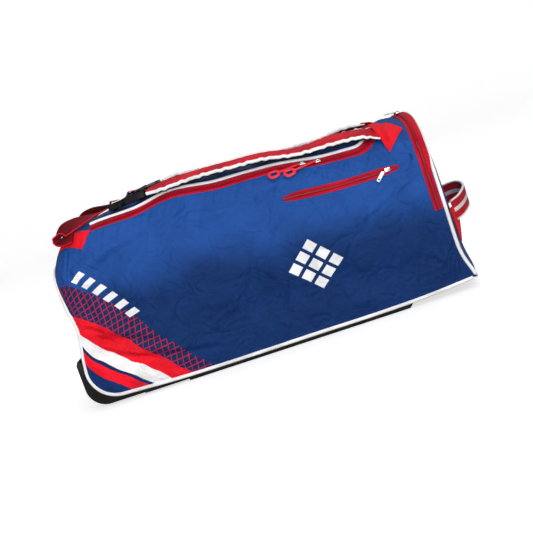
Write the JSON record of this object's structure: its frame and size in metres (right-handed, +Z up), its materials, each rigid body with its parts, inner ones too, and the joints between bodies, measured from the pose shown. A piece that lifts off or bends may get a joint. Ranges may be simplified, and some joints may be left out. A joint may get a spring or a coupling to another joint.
{
  "type": "wheeled duffel bag",
  "caption": "Soft wheeled duffel bag with a zipped lid, side and end zips, padded carrying straps, a grab handle, skid rails and corner wheels.",
  "frame": {"origin": "middle of the overall box, on the floor that the wheels and the skid rails rest on", "axes": "+X along the bag from the wheel end to the pull end, -Y towards the front face with the pocket zip, +Z up"},
  "size_m": [0.9162, 0.3888, 0.4202],
  "materials": {
    "blue_cloth": "royal-blue printed polyester with a soft sheen",
    "navy_cloth": "darker blue coated polyester",
    "red_webbing": "bright red woven webbing and zip tape",
    "dark_red_tape": "dark red webbing and nylon zip coil",
    "white_trim": "white piping and edge binding",
    "black_lining": "black strap lining",
    "black_plastic": "black moulded plastic, lightly grained",
    "tyre_rubber": "matt black wheel tread",
    "bright_metal": "bright nickel-plated die cast metal"
  },
  "bodies": {
    "bag": {"back_panel": "blue_cloth", "base_panel": "navy_cloth", "body_piping": "white_trim", "buckle_socket_back": "black_plastic", "buckle_socket_front": "black_plastic", "buckle_tongue_back": "black_plastic", "buckle_tongue_front": "black_plastic", "end_handle": "red_webbing", "end_handle_anchor_back": "red_webbing", "end_handle_anchor_front": "red_webbing", "end_handle_binding_lower": "white_trim", "end_handle_binding_upper": "white_trim", "end_pull": "bright_metal", "end_slider": "bright_metal", "end_zip_coil": "dark_red_tape", "end_zip_tape": "red_webbing", "front_panel": "blue_cloth", "lid_panel": "blue_cloth", "lid_piping": "white_trim", "lid_pull_a": "red_webbing", "lid_pull_b": "red_webbing", "lid_slider_a": "bright_metal", "lid_slider_b": "bright_metal", "lid_zip_coil": "dark_red_tape", "lid_zip_tape": "red_webbing", "pocket_pull": "bright_metal", "pocket_slider": "bright_metal", "pocket_zip_coil": "dark_red_tape", "pocket_zip_tape": "red_webbing", "pull_end_panel": "blue_cloth", "pull_end_piping": "white_trim", "skid_rail_back": "black_plastic", "skid_rail_front": "black_plastic", "strap_binding_back_a": "white_trim", "strap_binding_back_b": "white_trim", "strap_binding_front_a": "white_trim", "strap_binding_front_b": "white_trim", "strap_lining_back": "black_lining", "strap_lining_front": "black_lining", "strap_pad_back": "red_webbing", "strap_pad_front": "red_webbing", "strap_patch_pull_end_back": "red_webbing", "strap_patch_pull_end_front": "red_webbing", "strap_patch_wheel_end_back": "red_webbing", "strap_patch_wheel_end_front": "red_webbing", "strap_tail_back": "dark_red_tape", "strap_tail_front": "dark_red_tape", "top_yoke_pull_end": "blue_cloth", "top_yoke_wheel_end": "blue_cloth", "wheel_axle_back": "bright_metal", "wheel_axle_front": "bright_metal", "wheel_end_panel": "navy_cloth", "wheel_housing_back": "black_plastic", "wheel_housing_front": "black_plastic"},
    "wheel_front": {"wheel_tyre_front": "tyre_rubber", "wheel_hub_front": "black_plastic"},
    "wheel_back": {"wheel_tyre_back": "tyre_rubber", "wheel_hub_back": "black_plastic"}
  },
  "joints": [
    {"name": "wheel_front_spin", "type": "hinge", "parent": "bag", "child": "wheel_front", "pos_m": [-0.38012, -0.13814, 0.037], "axis": [0, 1, 0], "continuous": true},
    {"name": "wheel_back_spin", "type": "hinge", "parent": "bag", "child": "wheel_back", "pos_m": [-0.38012, 0.11786, 0.037], "axis": [0, 1, 0], "continuous": true}
  ]
}
